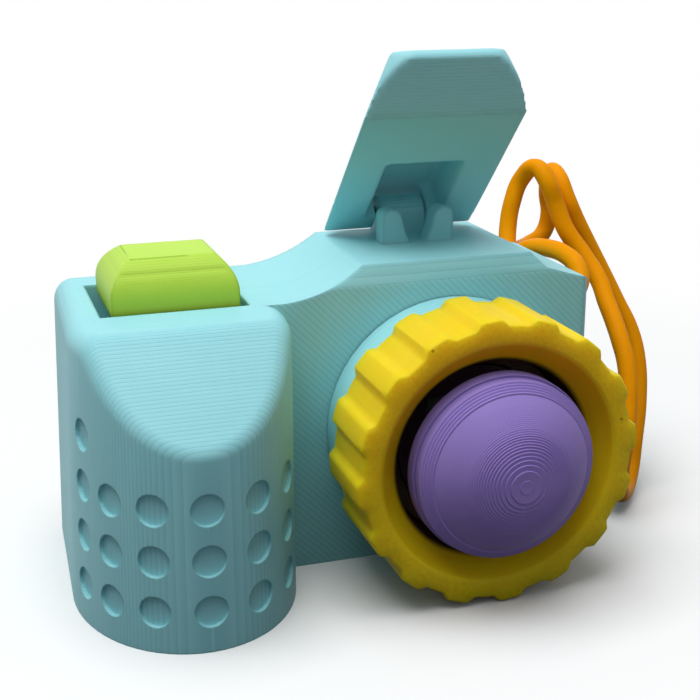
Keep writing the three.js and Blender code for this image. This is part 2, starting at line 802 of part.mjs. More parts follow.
const flash = new THREE.Group();
flash.position.set(lidX, hingeY, hingeZ);
flash.rotation.x = THREE.MathUtils.degToRad(-lidOpen);
flash.add(piece("flash_lid", flashLid(), skyBlue, 0.5));
const hingePin = bar(hingePinRadius, [-hingePinHalf, 0, 0], [hingePinHalf + 1, 0, 0], 16);
flash.add(piece("hinge_pin", hingePin, steel, 0.3, 1));
camera.add(flash);

camera.add(piece("strap", strap(), orange, 0.35));

// Stand the object over its own middle, between the dome and the open lid's rear edge
const frontMost = lensPlate - domeApex;
const lidTurn = THREE.MathUtils.degToRad(lidOpen);
const lidReach = lidRear * Math.cos(lidTurn) + (lidRoof - lidRearDrop) * Math.sin(lidTurn);
const rearMost = Math.max(bodyDepth, hingeY + lidReach);
camera.position.set(-(bodyLeft + bodyRight) / 2, -(frontMost + rearMost) / 2, 0);

const toy = new THREE.Group();
toy.add(camera);

export default toy;
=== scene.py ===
# Camera-shaped fidget toy: finishes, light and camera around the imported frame
import math

import bpy
from mathutils import Matrix, Vector


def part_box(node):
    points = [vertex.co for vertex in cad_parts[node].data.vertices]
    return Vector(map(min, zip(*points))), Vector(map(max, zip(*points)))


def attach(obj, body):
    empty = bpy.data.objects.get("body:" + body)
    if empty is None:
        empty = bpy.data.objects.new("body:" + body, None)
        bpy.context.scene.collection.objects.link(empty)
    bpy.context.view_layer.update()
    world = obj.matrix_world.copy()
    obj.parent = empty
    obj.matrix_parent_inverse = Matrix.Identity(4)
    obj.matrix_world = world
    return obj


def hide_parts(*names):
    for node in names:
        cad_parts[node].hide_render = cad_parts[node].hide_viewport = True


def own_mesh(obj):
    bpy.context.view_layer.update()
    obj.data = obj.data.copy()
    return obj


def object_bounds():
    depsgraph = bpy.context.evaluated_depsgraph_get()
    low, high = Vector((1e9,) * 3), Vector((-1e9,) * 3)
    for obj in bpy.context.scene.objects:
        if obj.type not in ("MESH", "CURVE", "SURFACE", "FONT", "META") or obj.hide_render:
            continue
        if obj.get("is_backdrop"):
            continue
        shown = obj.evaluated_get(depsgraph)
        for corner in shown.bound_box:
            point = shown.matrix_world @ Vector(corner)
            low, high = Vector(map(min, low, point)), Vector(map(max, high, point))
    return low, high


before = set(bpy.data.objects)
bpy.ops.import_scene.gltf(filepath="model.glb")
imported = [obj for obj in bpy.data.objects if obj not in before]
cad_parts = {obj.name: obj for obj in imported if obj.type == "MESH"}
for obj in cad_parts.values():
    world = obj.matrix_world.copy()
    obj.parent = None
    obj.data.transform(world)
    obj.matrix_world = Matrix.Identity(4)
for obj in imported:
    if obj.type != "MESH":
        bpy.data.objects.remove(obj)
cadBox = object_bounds()
scene = bpy.context.scene
mm = 0.001
bodyZero = (4.9, 0.75485, 0)  # mm, the part's own zero point, at the foot of the block's front face
print("frame loaded:", len(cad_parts), "pieces")


def linear(hexColour):  # sRGB hex to linear RGBA
    channels = [int(hexColour[i:i + 2], 16) / 255 for i in (1, 3, 5)]
    return [c / 12.92 if c <= 0.04045 else ((c + 0.055) / 1.055) ** 2.4 for c in channels] + [1]


def addNode(tree, kind, settings=None, links=None):
    # settings go to the node's own properties first, then to sockets by name or number
    node = tree.nodes.new(kind)
    for name, value in (settings or {}).items():
        if isinstance(name, str) and name in node.bl_rna.properties:
            setattr(node, name, value)
        else:
            node.inputs[name].default_value = value
    for name, output in (links or {}).items():
        tree.links.new(output, node.inputs[name])
    return node


def startMaterial(name):
    material = bpy.data.materials.new(name)
    material.use_nodes = True
    tree = material.node_tree
    tree.nodes.clear()
    shader = addNode(tree, "ShaderNodeBsdfPrincipled")
    addNode(tree, "ShaderNodeOutputMaterial", links={"Surface": shader.outputs[0]})
    return material, tree, shader


def bandScale(spacing):  # wave texture scale that gives one band per spacing
    return math.pi / (10 * spacing)


# Camera, at the photograph's viewing angle
view = {
    "place": (-52.90, -169.055, 88.39),  # mm
    "yaw": 17.784,  # degrees to the right of straight back
    "pitch": 17.167,  # degrees below the horizon
    "roll": 0.233,  # degrees
    "lens": 66.22, "sensor": 36,  # mm, on a square sensor
    "clip": (0.01, 20),  # m
}


def placeCamera():
    data = bpy.data.cameras.new("photoCamera")
    data.sensor_width = view["sensor"]
    data.lens = view["lens"]
    data.clip_start, data.clip_end = view["clip"]
    camera = bpy.data.objects.new("photoCamera", data)
    scene.collection.objects.link(camera)
    yaw, pitch, roll = (math.radians(view[k]) for k in ("yaw", "pitch", "roll"))
    ahead = Vector((math.sin(yaw) * math.cos(pitch), math.cos(yaw) * math.cos(pitch), -math.sin(pitch)))
    right = Vector((math.cos(yaw), -math.sin(yaw), 0))
    down = ahead.cross(right)
    sideways = right * math.cos(roll) + down * math.sin(roll)
    upwards = right * math.sin(roll) - down * math.cos(roll)
    turn = Matrix((sideways, upwards, -ahead)).transposed().to_4x4()
    camera.matrix_world = Matrix.Translation(Vector(view["place"]) * mm) @ turn
    scene.camera = camera


placeCamera()
print("camera placed")


# Wrist strap: one length of soft cord from the back of the body to its side
strapSettings = {
    "diameter": 3.0,  # mm
    "length": 0.21,  # m, hole to hole
    "roundness": 6, "fineness": 8,  # steps round the cord and along it
    "route": [  # mm, from bodyZero
        (31.504, 22.968, 33.88), (32.8, 25.2, 36.4),
        (33.9, 27.6, 39.6), (34.8, 29.6, 42.8), (35.9, 30.6, 47), (37.6, 30.5, 51.3),
        (38.8, 27.8, 53.4), (39.7, 25.2, 51.4), (41.06, 24.35, 47.6), (42.36, 22.65, 43.4),
        (44.56, 20.15, 39.4), (45.85, 16.85, 35.8), (45.9, 14, 32.8), (45.9, 11.2, 30.2),
        (45.8, 8.6, 27.6), (45.7, 6.2, 24.6), (44.7, 3, 19.3), (43.2, 0.6, 13.8),
        (42.4, 0.2, 8.4), (43.6, 2, 4), (46.6, 5.6, 2.3), (49.8, 9.6, 4),
        (51.6, 12, 8.2), (54, 15.5, 14.1), (55.1, 18.5, 20.4), (54.7, 20.8, 25.2),
        (52.9, 23, 30), (50.85, 24.67, 34.8), (48.65, 25.87, 39.4), (46.35, 26.67, 44),
        (44.75, 27.47, 47.8), (44.2, 30.2, 51.3), (44.6, 34, 51.3), (45.4, 36.4, 47.2),
        (46, 36.6, 43.2), (44.8, 36.4, 39.8), (41.6, 35.2, 38.4), (38.6, 32.4, 38.4),
        (37, 28.4, 39), (36.8, 23.6, 40.6), (37, 18, 41.6), (37.4, 13, 41.6),
        (37.7, 9.8, 40.6), (37.3, 7.4, 38.7),
        (35.2, 5.6, 36.8), (32.284, 4.196, 35.216),
    ],
}


def makeStrap():
    data = bpy.data.curves.new("wristStrap", "CURVE")
    data.dimensions = "3D"
    data.bevel_depth = 1.0  # each point's radius gives the thickness, so that the curve's box is right
    data.bevel_resolution = strapSettings["roundness"]
    data.resolution_u = strapSettings["fineness"]
    data.use_fill_caps = True
    spline = data.splines.new("BEZIER")
    points = [(Vector(p) + Vector(bodyZero)) * mm for p in strapSettings["route"]]
    spline.bezier_points.add(len(points) - 1)
    for knot, point in zip(spline.bezier_points, points):
        knot.co = point
        knot.radius = strapSettings["diameter"] / 2 * mm
        knot.handle_left_type = knot.handle_right_type = "AUTO"
    strap = bpy.data.objects.new("wristStrap", data)
    scene.collection.objects.link(strap)
    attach(strap, "camera_body")
    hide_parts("strap")
    print("strap length", round(spline.calc_length(), 4), "m")
    return strap


strap = makeStrap()
print("strap laid")


# Printed edges: round faces shade smoothly, and edges above a given angle stay crisp
weldWithin = 0.002  # mm


def smoothFaces(piece, degrees):
    tree = bpy.data.node_groups.new(f"smooth_{piece.name}", "GeometryNodeTree")
    tree.interface.new_socket("Geometry", in_out="INPUT", socket_type="NodeSocketGeometry")
    tree.interface.new_socket("Geometry", in_out="OUTPUT", socket_type="NodeSocketGeometry")
    start = addNode(tree, "NodeGroupInput")
    plain = addNode(tree, "GeometryNodeRemoveAttribute", {"Name": "custom_normal"}, {0: start.outputs[0]})
    welded = addNode(
        tree, "GeometryNodeMergeByDistance", {"Distance": weldWithin * mm}, {0: plain.outputs[0]})
    soft = addNode(
        tree, "GeometryNodeSetShadeSmooth", {"domain": "FACE", "Shade Smooth": True},
        {0: welded.outputs[0]})
    angle = addNode(tree, "GeometryNodeInputMeshEdgeAngle")
    sharp = addNode(
        tree, "FunctionNodeCompare",
        {"data_type": "FLOAT", "operation": "GREATER_THAN", 1: math.radians(degrees)},
        {0: angle.outputs["Unsigned Angle"]})
    creased = addNode(
        tree, "GeometryNodeSetShadeSmooth", {"domain": "EDGE", "Shade Smooth": False},
        {0: soft.outputs[0], "Selection": sharp.outputs[0]})
    addNode(tree, "NodeGroupOutput", links={0: creased.outputs[0]})
    modifier = piece.modifiers.new("smoothFaces", "NODES")
    modifier.node_group = tree


# Lid: every edge of it is softly rounded, so its surface is laid anew and smoothed
lidRounding = {"grain": 0.4, "strength": 0.5, "rounds": 8}  # mm, share, count


def roundLid(piece):
    relaid = piece.modifiers.new("relaidSurface", "REMESH")
    relaid.mode = "VOXEL"
    relaid.voxel_size = lidRounding["grain"] * mm
    rounded = piece.modifiers.new("roundedOver", "SMOOTH")
    rounded.factor = lidRounding["strength"]
    rounded.iterations = lidRounding["rounds"]


# A closed surface through rings of points that lie round the lens axis, front to back
def ringedMesh(name, rings, closed):
    sides = len(rings[0])
    points = [p for ring in rings for p in ring]
    faces = []
    rows = len(rings) if closed else len(rings) - 1
    for r in range(rows):
        a, b = r * sides, (r + 1) % len(rings) * sides
        for k in range(sides):
            n = (k + 1) % sides
            faces.append((a + k, a + n, b + n, b + k))
    if not closed:  # cap both ends
        faces.append(tuple(range(sides - 1, -1, -1)))
        faces.append(tuple(range(len(points) - sides, len(points))))
    mesh = bpy.data.meshes.new(name)
    mesh.from_pydata(points, [], faces)
    mesh.validate()
    mesh.update()
    piece = bpy.data.objects.new(name, mesh)
    scene.collection.objects.link(piece)
    return piece


# Lens button: printed standing on its rim, so the dome is a stack of thin round layers
domeSettings = {
    "layer": 0.14,  # mm, read from the growth of the rings round the crown
    "sides": 128,
    "rimRadius": 13.2, "sideRadius": 12.8, "domeRadius": 11.3,  # mm
    "domeRise": 4.84, "bevelHeight": 1.5, "bevelSteps": 5,
    "sideHeight": 1.4, "rimHeight": 2.0, "wall": 1.6,
    "bead": 0.3,  # share of a layer that is rounded off
    "crown": 0.03, "pole": 0.3,  # mm, height of the thin first disc, radius of its flat middle
    "furrow": 0.04, "furrowOut": 0.03,  # mm, between two layers
    "stepEdge": 0.08, "stepFoot": 0.02, "rimEdge": 0.1,  # mm, small roundings of the steps and the rim
    "crispTo": 5.5, "fadeOver": 5.0, "fade": 0.92,  # mm, mm, share: steps melt together further out
    "crisp": 40,  # degrees
}


def makeDome():
    s = domeSettings
    low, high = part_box("lens_button")
    middleX, middleZ, front = (low[0] + high[0]) / 2, (low[2] + high[2]) / 2, low[1]
    curve = (s["domeRadius"] ** 2 + s["domeRise"] ** 2) / (2 * s["domeRise"])
    profile = []  # radius and depth behind the crown, mm
    layers = math.ceil((s["domeRise"] - s["crown"]) / s["layer"])
    for k in range(layers + 1):  # the crown is only a thin first disc
        depth = max(0, (k - 1) * s["layer"] + s["crown"])
        after = min(s["domeRise"], k * s["layer"] + s["crown"])
        radius = math.sqrt(2 * curve * after - after ** 2)
        lip = s["bead"] * (after - depth)
        melt = s["fade"] * min(1, max(0, (radius - s["crispTo"]) / s["fadeOver"]))
        inner = profile[-1][0] if profile else s["pole"]
        bead = [(inner + s["furrowOut"], depth + s["furrow"]), (radius - lip, depth)]
        bead += [(radius, depth + lip), (radius, after)]
        for r, d in bead:
            smooth = curve - math.sqrt(curve ** 2 - r ** 2)
            profile.append((r, d + (smooth - d) * melt))
    bevel = (s["sideRadius"] - s["domeRadius"]) / s["bevelSteps"]
    drop = s["bevelHeight"] / s["bevelSteps"]
    for step in range(1, s["bevelSteps"] + 1):
        radius = s["domeRadius"] + bevel * step
        depth = s["domeRise"] + drop * (step - 1)
        profile += [(radius - s["stepEdge"], depth), (radius, depth + s["stepEdge"])]
        profile += [(radius, depth + drop - s["stepFoot"])]
    ledge = s["domeRise"] + s["bevelHeight"] + s["sideHeight"]
    foot = ledge + s["rimHeight"]
    roof, hollow = s["domeRise"] + s["bevelHeight"], s["sideRadius"] - s["wall"]
    profile += [(s["sideRadius"], ledge), (s["rimRadius"] - s["rimEdge"], ledge)]
    profile += [(s["rimRadius"], ledge + s["rimEdge"]), (s["rimRadius"], foot)]
    profile += [(hollow, foot), (hollow, roof), (s["pole"], roof)]
    rings = []
    for radius, depth in profile:
        ring = []
        for k in range(s["sides"]):
            angle = k / s["sides"] * 2 * math.pi
            side, rise = radius * mm * math.sin(angle), radius * mm * math.cos(angle)
            ring.append((middleX + side, front + depth * mm, middleZ + rise))
        rings.append(ring)
    dome = ringedMesh("lensDome", rings, closed=False)
    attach(dome, "lens_press")
    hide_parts("lens_button")
    return dome


dome = makeDome()
print("dome turned")


# Lens ring: low flat-topped teeth with shallow flats between them, and a funnel mouth
ringSettings = {
    "lobes": 16, "stepsPerLobe": 16, "phase": 17,  # degrees
    "crest": 20.9, "flute": 0.9, "steep": 1.1,  # mm, mm, and how abruptly a tooth rises
    "mouth": 16.9, "throat": 14.2, "funnel": 3.5, "bore": 11.9, "web": 1.6,  # mm
    "edge": 0.5, "edgeMiddle": 0.3, "mouthRound": 0.9,  # mm, share, mm: softened edges
    "rows": 6, "crisp": 40,  # count along the side, degrees
}


def makeRing():
    s = ringSettings
    low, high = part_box("lens_ring")
    middleX, middleZ = (low[0] + high[0]) / 2, (low[2] + high[2]) / 2
    length = (high[1] - low[1]) / mm
    half = s["edgeMiddle"] * s["edge"]
    stations = [(s["edge"], 0, True), (half, half, True), (0, s["edge"], True)]
    stations += [(0, length * k / s["rows"], True) for k in range(1, s["rows"])]
    stations += [(0, length - s["edge"], True), (s["edge"], length, True)]
    stations += [(s["bore"], length, False), (s["bore"], length - s["web"], False)]
    stations += [(s["throat"], length - s["web"], False), (s["throat"], s["funnel"], False)]
    for part in (0, 30, 60, 90):  # the mouth's edge is rounded over
        turn = math.radians(part)
        lip = s["mouthRound"]
        stations.append((s["mouth"] + lip * (1 - math.cos(turn)), lip * (1 - math.sin(turn)), False))
    count = s["lobes"] * s["stepsPerLobe"]
    rings = []
    for size, depth, lobed in stations:
        ring = []
        for k in range(count):
            angle = k / count * 2 * math.pi
            wave = math.cos(s["lobes"] * (angle - math.radians(s["phase"])))
            tooth = min(1, max(0, 0.5 + s["steep"] * wave))
            tooth = tooth * tooth * (3 - 2 * tooth)
            radius = s["crest"] - s["flute"] * (1 - tooth) - size if lobed else size
            side, rise = radius * mm * math.sin(angle), radius * mm * math.cos(angle)
            ring.append((middleX + side, low[1] + depth * mm, middleZ + rise))
        rings.append(ring)
    ring = ringedMesh("lensGripRing", rings, closed=True)
    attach(ring, "ring")
    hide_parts("lens_ring")
    return ring


gripRing = makeRing()
print("ring made")


# Switch springs: each coil is copied as a piece of its own and fixed to the body
springSettings = {
    "travel": 4.0, "spare": 0.1,  # mm
    "crisp": 50,  # degrees
    "lens": {"joint": "lens_press", "axis": (0, 1, 0)},
    "shutter": {"joint": "shutter_press", "axis": (0, 0, -1)},
}


def makeSpring(place):
    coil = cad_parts[f"{place}_switch_spring"]
    spring = bpy.data.objects.new(f"{place}SwitchSpring", coil.data.copy())
    scene.collection.objects.link(spring)
    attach(spring, "camera_body")
    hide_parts(coil.name)
    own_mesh(spring)
    return spring


springs = {place: makeSpring(place) for place in ("lens", "shutter")}
print("springs seated")


# Printed PLA: dull and slightly cloudy, with a ridge for each layer. The real layers of
# about 0.14 mm are too fine to show, so the ridges are drawn two to three times as coarse.
printSettings = {
    "ior": 1.46,
    "cloud": 7.0, "cloudShare": 0.6,  # mm, and how much the slow mottling shows
    "runsPerMetre": 60, "layerShare": 0.8,  # tone changes along one layer, and how much they show
    "wall": 0.05, "terrace": 0.6,  # how squarely a face meets the layers, from wall to terrace
    "skinGrain": 0.5, "roughSpread": 0.06,  # mm, and roughness either way
    "topFrom": 39, "topTo": 43,  # mm, over this height the edges turn rounder
}


def printedPlastic(look):
    s = printSettings
    material, tree, shader = startMaterial(look["name"])
    place = addNode(tree, "ShaderNodeTexCoord")
    stacked = addNode(
        tree, "ShaderNodeMapping", {"Rotation": [math.radians(a) for a in look["stackTurn"]]},
        {"Vector": place.outputs["Object"]})
    beads = addNode(
        tree, "ShaderNodeTexWave",
        {"bands_direction": "Z", "wave_profile": "SAW", "Scale": bandScale(look["layer"] * mm),
         "Distortion": look["wobble"], "Detail": 1.0, "Detail Scale": 0.15},
        {"Vector": stacked.outputs[0]})
    # each layer has its own slight tone, long along the layer and one layer thick
    layerPlace = addNode(
        tree, "ShaderNodeMapping",
        {"Scale": (s["runsPerMetre"], s["runsPerMetre"], 1 / (2 * look["layer"] * mm))},
        {"Vector": stacked.outputs[0]})
    layerTone = addNode(
        tree, "ShaderNodeTexNoise", {"Scale": 1.0, "Detail": 2.0}, {"Vector": layerPlace.outputs[0]})
    cloud = addNode(
        tree, "ShaderNodeTexNoise", {"Scale": 1 / (s["cloud"] * mm), "Detail": 3.0},
        {"Vector": place.outputs["Object"]})
    turned = addNode(
        tree, "ShaderNodeVectorRotate",
        {"rotation_type": "EULER_XYZ", "Rotation": [math.radians(a) for a in look["stackTurn"]]},
        {"Vector": place.outputs["Normal"]})
    facing = addNode(tree, "ShaderNodeSeparateXYZ", links={0: turned.outputs[0]})
    flat = addNode(tree, "ShaderNodeMath", {"operation": "ABSOLUTE"}, {0: facing.outputs["Z"]})
    steep = addNode(
        tree, "ShaderNodeMapRange",
        {"From Min": s["wall"], "From Max": s["terrace"], "To Min": look["wallShare"], "To Max": 1.0},
        {"Value": flat.outputs[0]})
    # tone: cloudy base, with painted shade in the grooves between layers
    layerPart = addNode(
        tree, "ShaderNodeMath", {"operation": "MULTIPLY_ADD", 1: s["layerShare"], 2: -s["layerShare"] / 2},
        {0: layerTone.outputs["Fac"]})
    mottling = addNode(
        tree, "ShaderNodeMath", {"operation": "MULTIPLY_ADD", 1: s["cloudShare"]},
        {0: cloud.outputs["Fac"], 2: layerPart.outputs[0]})
    mottled = addNode(
        tree, "ShaderNodeMix", {"data_type": "RGBA", 6: linear(look["colour"]), 7: linear(look["pale"])},
        {0: mottling.outputs[0]})
    groove = addNode(
        tree, "ShaderNodeMath",
        {"operation": "MULTIPLY_ADD", 1: -look["grooveShade"], 2: look["grooveShade"]},
        {0: beads.outputs["Fac"]})
    grooveHere = addNode(
        tree, "ShaderNodeMath", {"operation": "MULTIPLY"}, {0: groove.outputs[0], 1: steep.outputs[0]})
    tone = addNode(
        tree, "ShaderNodeMix", {"data_type": "RGBA", 7: linear(look["deep"])},
        {0: grooveHere.outputs[0], 6: mottled.outputs[2]})
    # relief: soft edge, then layer ridges, then the fine matte skin
    spot = addNode(tree, "ShaderNodeSeparateXYZ", links={0: place.outputs["Object"]})
    softness = addNode(  # edges on top are rounder than those lower down
        tree, "ShaderNodeMapRange",
        {"From Min": s["topFrom"] * mm, "From Max": s["topTo"] * mm,
         "To Min": look["edge"] * mm, "To Max": look["topEdge"] * mm},
        {"Value": spot.outputs["Z"]})
    edge = addNode(tree, "ShaderNodeBevel", {"samples": 6}, {"Radius": softness.outputs[0]})
    ridgesHere = addNode(
        tree, "ShaderNodeMath", {"operation": "MULTIPLY"}, {0: beads.outputs["Fac"], 1: steep.outputs[0]})
    relief = addNode(
        tree, "ShaderNodeBump", {"invert": True, "Strength": 1.0, "Distance": look["ridge"] * mm},
        {"Height": ridgesHere.outputs[0], "Normal": edge.outputs[0]})
    skin = addNode(
        tree, "ShaderNodeTexNoise", {"Scale": 1 / (s["skinGrain"] * mm), "Detail": 2.0},
        {"Vector": place.outputs["Object"]})
    relief = addNode(
        tree, "ShaderNodeBump", {"Strength": 1.0, "Distance": look["skin"] * mm},
        {"Height": skin.outputs["Fac"], "Normal": relief.outputs[0]})
    rough = addNode(
        tree, "ShaderNodeMapRange",
        {"To Min": look["rough"] - s["roughSpread"], "To Max": look["rough"] + s["roughSpread"]},
        {"Value": cloud.outputs["Fac"]})
    tree.links.new(tone.outputs[2], shader.inputs["Base Color"])
    tree.links.new(rough.outputs[0], shader.inputs["Roughness"])
    tree.links.new(relief.outputs[0], shader.inputs["Normal"])
    shader.inputs["IOR"].default_value = s["ior"]
    shader.inputs["Specular IOR Level"].default_value = look["sheen"]
    return material, tree, shader, {"place": place, "spot": spot, "tone": tone, "relief": relief}


# Matte PLA, printed lying on its back: layer lines run round the grip like contour lines
bodyLook = {
    "name": "plaTealPrintedOnItsBack", "colour": "#9bdde5", "pale": "#a9e4ea", "deep": "#4a9aa8",
    "stackTurn": (90, 0, 0), "layer": 0.42, "wobble": 0.4,  # degrees, mm, waviness
    "ridge": 0.09, "grooveShade": 0.22, "wallShare": 0.08,  # mm, share, share
    "edge": 0.3, "topEdge": 1.0, "skin": 0.006,  # mm
    "rough": 0.5, "sheen": 0.2,
    "strokeSpacing": 0.75, "strokeTurn": -45, "strokeDepth": 0.02, "strokeWobble": 0.3,  # mm, degrees, mm
    "strokeShade": 0.22, "seamShare": 0.22, "frontDepth": 0.1,  # share, share, mm either way
}


def bodyFinish():
    look = bodyLook
    material, tree, shader, parts = printedPlastic(look)
    # top skin of the print on the flat front: straight strokes laid aslant, with painted shade in the seams
    # between them
    aslant = addNode(
        tree, "ShaderNodeMapping", {"Rotation": (0, math.radians(look["strokeTurn"]), 0)},
        {"Vector": parts["place"].outputs["Object"]})
    strokes = addNode(
        tree, "ShaderNodeTexWave",
        {"bands_direction": "Z", "Scale": bandScale(look["strokeSpacing"] * mm),
         "Distortion": look["strokeWobble"], "Detail": 1.0, "Detail Scale": 0.1},
        {"Vector": aslant.outputs[0]})
    seam = addNode(
        tree, "ShaderNodeMapRange",
        {"From Min": 0.0, "From Max": look["seamShare"], "To Min": 1.0, "To Max": 0.0},
        {"Value": strokes.outputs["Fac"]})
    front = addNode(
        tree, "ShaderNodeMath", {"operation": "COMPARE", 1: bodyZero[1] * mm, 2: look["frontDepth"] * mm},
        {0: parts["spot"].outputs["Y"]})
    seamHere = addNode(
        tree, "ShaderNodeMath", {"operation": "MULTIPLY"}, {0: seam.outputs[0], 1: front.outputs[0]})
    relief = addNode(
        tree, "ShaderNodeBump", {"invert": True, "Strength": 1.0, "Distance": look["strokeDepth"] * mm},
        {"Height": seamHere.outputs[0], "Normal": parts["relief"].outputs[0]})
    shaded = addNode(
        tree, "ShaderNodeMath", {"operation": "MULTIPLY", 1: look["strokeShade"]}, {0: seamHere.outputs[0]})
    tone = addNode(
        tree, "ShaderNodeMix", {"data_type": "RGBA", 7: linear(look["deep"])},
        {0: shaded.outputs[0], 6: parts["tone"].outputs[2]})
    tree.links.new(tone.outputs[2], shader.inputs["Base Color"])
    tree.links.new(relief.outputs[0], shader.inputs["Normal"])
    return material


# Barrel: the same teal PLA, with painted shade on its front end for the deep shade in the gap round the
# button
barrelLook = dict(bodyLook, name="plaTealBarrelPaintedShadePlate", plate="#3a2634", shadedPlateDepth=3.5)  # mm


def barrelFinish():
    look = barrelLook
    material, tree, shader, parts = printedPlastic(look)
    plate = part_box("lens_barrel")[0][1]
    # painted shade: the barrel's front end, as deep as the plate reaches, takes the dark plate colour
    inside = addNode(
        tree, "ShaderNodeMath", {"operation": "LESS_THAN", 1: plate + look["shadedPlateDepth"] * mm},
        {0: parts["spot"].outputs["Y"]})
    tone = addNode(
        tree, "ShaderNodeMix", {"data_type": "RGBA", 7: linear(look["plate"])},
        {0: inside.outputs[0], 6: parts["tone"].outputs[2]})
    tree.links.new(tone.outputs[2], shader.inputs["Base Color"])
    return material


# The lid is printed flat side down, so its layers lean back as far as it stands open
lidLook = dict(
    bodyLook, name="plaTealPrintedFlat", stackTurn=(44.4, 0, 0), layer=0.26, ridge=0.03,
    edge=0.2, topEdge=0.2, grooveShade=0.08)

# Yellow PLA: bright smooth flutes, and a rough crumbly top skin on the front face
ringLook = {
    "name": "plaYellowRoughTop", "colour": "#fbcf10", "pale": "#ffd824", "deep": "#a07400",
    "stackTurn": (90, 0, 0), "layer": 0.3, "wobble": 0.4,
    "ridge": 0.006, "grooveShade": 0.04, "wallShare": 0.5,
    "edge": 0.3, "topEdge": 0.3, "skin": 0.008, "rough": 0.48, "sheen": 0.2,
    "glow": 0.6, "glowReach": 6.0,  # share and mm that light soaks in
    "glowSpread": (1.0, 0.45, 0.05),  # red soaks furthest, so shaded yellow turns golden
    "sideFace": -0.8, "frontFace": -0.97,  # how a face looks forwards, where the rough skin fades in
    "pebble": 0.6, "pebbleDepth": 0.1,  # mm
    "pitFrom": 0.52, "pitTo": 0.36, "pitShade": 0.12,
    "speck": 2.2, "speckAbove": 0.9,  # mm between spots, of which only the rare ones turn dark
    "speckEdge": 0.13, "speckCore": 0.07, "speckShade": 0.85,
    # painted shade in the throat behind the funnel
    "throatPaintedShade": "#4a2c18", "throatFade": 0.7, "throatSlack": 0.1,  # mm outside the throat
}


def ringFinish():
    look = ringLook
    material, tree, shader, parts = printedPlastic(look)
    facing = addNode(tree, "ShaderNodeSeparateXYZ", links={0: parts["place"].outputs["Normal"]})
    front = addNode(
        tree, "ShaderNodeMapRange",
        {"From Min": look["sideFace"], "From Max": look["frontFace"], "To Min": 0.0, "To Max": 1.0},
        {"Value": facing.outputs["Y"]})
    pebbles = addNode(
        tree, "ShaderNodeTexNoise", {"Scale": 1 / (look["pebble"] * mm), "Detail": 2.5, "Roughness": 0.6},
        {"Vector": parts["place"].outputs["Object"]})
    pebblesHere = addNode(
        tree, "ShaderNodeMath", {"operation": "MULTIPLY"}, {0: pebbles.outputs["Fac"], 1: front.outputs[0]})
    relief = addNode(
        tree, "ShaderNodeBump", {"Strength": 1.0, "Distance": look["pebbleDepth"] * mm},
        {"Height": pebblesHere.outputs[0], "Normal": parts["relief"].outputs[0]})
    # painted shade in the pits between the crumbs, and here and there a real dark speck
    pit = addNode(
        tree, "ShaderNodeMapRange",
        {"From Min": look["pitFrom"], "From Max": look["pitTo"], "To Min": 0.0, "To Max": look["pitShade"]},
        {"Value": pebbles.outputs["Fac"]})
    specks = addNode(
        tree, "ShaderNodeTexVoronoi", {"Scale": 1 / (look["speck"] * mm)},
        {"Vector": parts["place"].outputs["Object"]})
    chance = addNode(tree, "ShaderNodeSeparateColor", links={0: specks.outputs["Color"]})
    rare = addNode(
        tree, "ShaderNodeMath", {"operation": "GREATER_THAN", 1: look["speckAbove"]}, {0: chance.outputs[0]})
    dot = addNode(
        tree, "ShaderNodeMapRange",
        {"From Min": look["speckEdge"], "From Max": look["speckCore"],
         "To Min": 0.0, "To Max": look["speckShade"]},
        {"Value": specks.outputs["Distance"]})
    speck = addNode(
        tree, "ShaderNodeMath", {"operation": "MULTIPLY"}, {0: dot.outputs[0], 1: rare.outputs[0]})
    dark = addNode(
        tree, "ShaderNodeMath", {"operation": "MAXIMUM"}, {0: pit.outputs[0], 1: speck.outputs[0]})
    darkHere = addNode(
        tree, "ShaderNodeMath", {"operation": "MULTIPLY"}, {0: dark.outputs[0], 1: front.outputs[0]})
    tone = addNode(
        tree, "ShaderNodeMix", {"data_type": "RGBA", 7: linear(look["deep"])},
        {0: darkHere.outputs[0], 6: parts["tone"].outputs[2]})
    # painted shade: behind the funnel the throat is coloured dark, for the deep shade in the gap round the
    # button
    low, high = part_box("lens_ring")
    level = addNode(
        tree, "ShaderNodeVectorMath", {"operation": "MULTIPLY", 1: (1, 0, 1)},
        {0: parts["place"].outputs["Object"]})
    axis = ((low[0] + high[0]) / 2, 0, (low[2] + high[2]) / 2)
    fromAxis = addNode(
        tree, "ShaderNodeVectorMath", {"operation": "DISTANCE", 1: axis}, {0: level.outputs[0]})
    throat = addNode(
        tree, "ShaderNodeMapRange",
        {"From Min": (ringSettings["throat"] + look["throatFade"]) * mm,
         "From Max": (ringSettings["throat"] + look["throatSlack"]) * mm},
        {"Value": fromAxis.outputs["Value"]})
    tone = addNode(
        tree, "ShaderNodeMix", {"data_type": "RGBA", 7: linear(look["throatPaintedShade"])},
        {0: throat.outputs[0], 6: tone.outputs[2]})
    tree.links.new(tone.outputs[2], shader.inputs["Base Color"])
    tree.links.new(relief.outputs[0], shader.inputs["Normal"])
    shader.inputs["Subsurface Weight"].default_value = look["glow"]
    shader.inputs["Subsurface Scale"].default_value = look["glowReach"] * mm
    shader.inputs["Subsurface Radius"].default_value = look["glowSpread"]
    return material


# Violet PLA, printed rim down: the dome's layers are modelled, the straight sides get ridges
domeLook = {
    "name": "plaVioletPrintedRimDown", "colour": "#967fca", "pale": "#a088d2", "deep": "#3e3160",
    "stackTurn": (90, 0, 0), "layer": 0.42, "wobble": 0.2,
    "ridge": 0.0, "grooveShade": 0.0, "wallShare": 1.0,
    "rib": 0.55, "ribDepth": 0.08, "rimShade": 0.45, "rimFade": 1.6,  # mm, mm, share, mm
    "edge": 0.05, "topEdge": 0.05, "skin": 0.004, "rough": 0.5, "sheen": 0.25,
}


